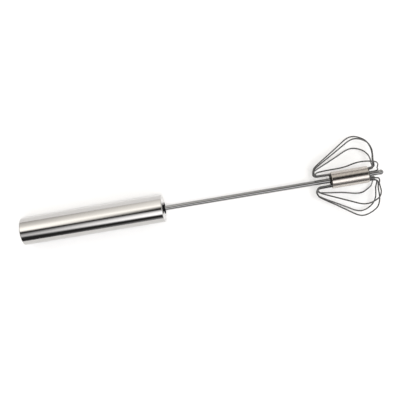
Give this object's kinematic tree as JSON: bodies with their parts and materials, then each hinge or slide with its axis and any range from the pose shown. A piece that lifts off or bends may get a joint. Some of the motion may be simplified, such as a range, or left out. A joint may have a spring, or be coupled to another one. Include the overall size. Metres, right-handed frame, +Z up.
{
  "type": "push-type rotary whisk",
  "caption": "Push-type egg beater: a steel tube handle with a spring and twisted drive inside, a thin rod, and a head of wire loops in a ferrule. Pushing the handle spins the head.",
  "frame": {"origin": "middle of the object's box on the plane that it lies on", "axes": "+X along the tool from the butt of the handle to the tip, sloping up 3.6 degrees because the head is wider than the handle; +Y across; +Z up"},
  "size_m": [0.254, 0.0554, 0.0505],
  "materials": {
    "handle_steel": "polished stainless tube with faint lengthwise polishing marks",
    "rod_steel": "polished stainless rod",
    "ferrule_steel": "polished stainless sleeve, slightly warm",
    "wire_steel": "bright drawn stainless wire",
    "spring_steel": "plain spring steel",
    "black_nylon": "smooth moulded nylon",
    "white_acetal": "smooth moulded acetal"
  },
  "bodies": {
    "handle": {"handle_tube": "handle_steel", "butt_cap": "handle_steel", "mouth_cap": "handle_steel", "spring_sleeve": "white_acetal", "spacer_sleeve": "white_acetal", "spring_seat": "white_acetal", "drive_nut": "white_acetal", "guide_bush": "black_nylon", "bush_lock_ring": "spring_steel"},
    "plunger": {"spring_follower": "white_acetal", "thrust_washer": "spring_steel", "return_spring": "spring_steel"},
    "whisk": {"spiral_rod": "rod_steel", "stop_collar": "spring_steel", "ferrule": "ferrule_steel", "wire_hub": "rod_steel", "whisk_loop_1": "wire_steel", "whisk_loop_2": "wire_steel", "whisk_loop_3": "wire_steel", "whisk_loop_4": "wire_steel", "whisk_loop_5": "wire_steel", "whisk_loop_6": "wire_steel", "whisk_loop_7": "wire_steel", "whisk_loop_8": "wire_steel"}
  },
  "joints": [
    {"name": "push", "type": "slide", "parent": "handle", "child": "plunger", "axis": [-0.998, 0, -0.0635], "range_m": [0, 0.03], "stiffness_N_per_m": 150, "springref_m": -0.009, "deforming": ["return_spring"]},
    {"name": "spin", "type": "hinge", "parent": "plunger", "child": "whisk", "pos_m": [0.0914, -0.00017, 0.02332], "axis": [-0.998, 0, -0.0635], "range_deg": [-2, 722]}
  ],
  "couplings": [
    {"joint": "spin", "follows": "push", "rad_per_m": 418.88}
  ]
}
